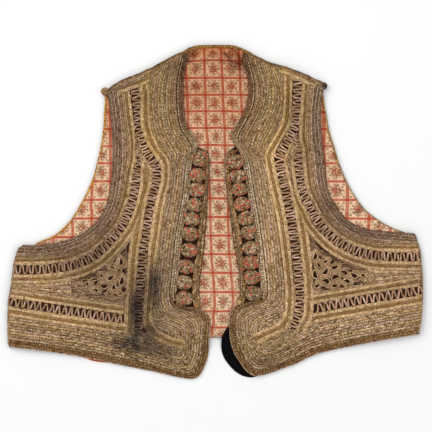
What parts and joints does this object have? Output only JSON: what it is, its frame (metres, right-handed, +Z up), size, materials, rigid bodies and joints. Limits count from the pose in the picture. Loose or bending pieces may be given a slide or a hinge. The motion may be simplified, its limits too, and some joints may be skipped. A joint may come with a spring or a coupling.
{
  "type": "embroidered folk vest",
  "caption": "Sleeveless embroidered folk vest laid flat, its fronts over its back, with couched braid bands, round thread buttons and a printed check lining.",
  "frame": {"origin": "middle of the underside of the vest as it lies flat", "axes": "+X across the vest towards the wearer's left front, +Y from hem to neck, +Z up from the table"},
  "size_m": [0.52, 0.4184, 0.0153],
  "materials": {
    "wool_ground": "matt felted wool",
    "gilt_braid": "tarnished gilt thread, low sheen",
    "olive_thread": "wrapped silk and metal thread, low sheen",
    "printed_cotton": "matt block-printed cotton",
    "gold_cord": "gilt cord, low sheen",
    "black_tape": "matt ribbed tape"
  },
  "bodies": {
    "root": {"armhole_cord_left": "gold_cord", "armhole_cord_right": "gold_cord", "back": "wool_ground", "back_lining": "printed_cotton", "button_left_01": "olive_thread", "button_left_02": "olive_thread", "button_left_03": "olive_thread", "button_left_04": "olive_thread", "button_left_05": "olive_thread", "button_left_06": "olive_thread", "button_left_07": "olive_thread", "button_left_08": "olive_thread", "button_left_09": "olive_thread", "button_left_10": "olive_thread", "button_right_01": "olive_thread", "button_right_02": "olive_thread", "button_right_03": "olive_thread", "button_right_04": "olive_thread", "button_right_05": "olive_thread", "button_right_06": "olive_thread", "button_right_07": "olive_thread", "button_right_08": "olive_thread", "button_right_09": "olive_thread", "button_right_10": "olive_thread", "button_strip_left": "olive_thread", "button_strip_right": "olive_thread", "collar": "wool_ground", "collar_lining": "printed_cotton", "front_left": "gilt_braid", "front_right": "gilt_braid", "hem_lining_left": "printed_cotton", "hem_lining_right": "printed_cotton", "neck_cord": "gold_cord", "shoulder_knob_left": "olive_thread", "shoulder_knob_right": "olive_thread", "waist_tape": "black_tape"}
  },
  "joints": []
}
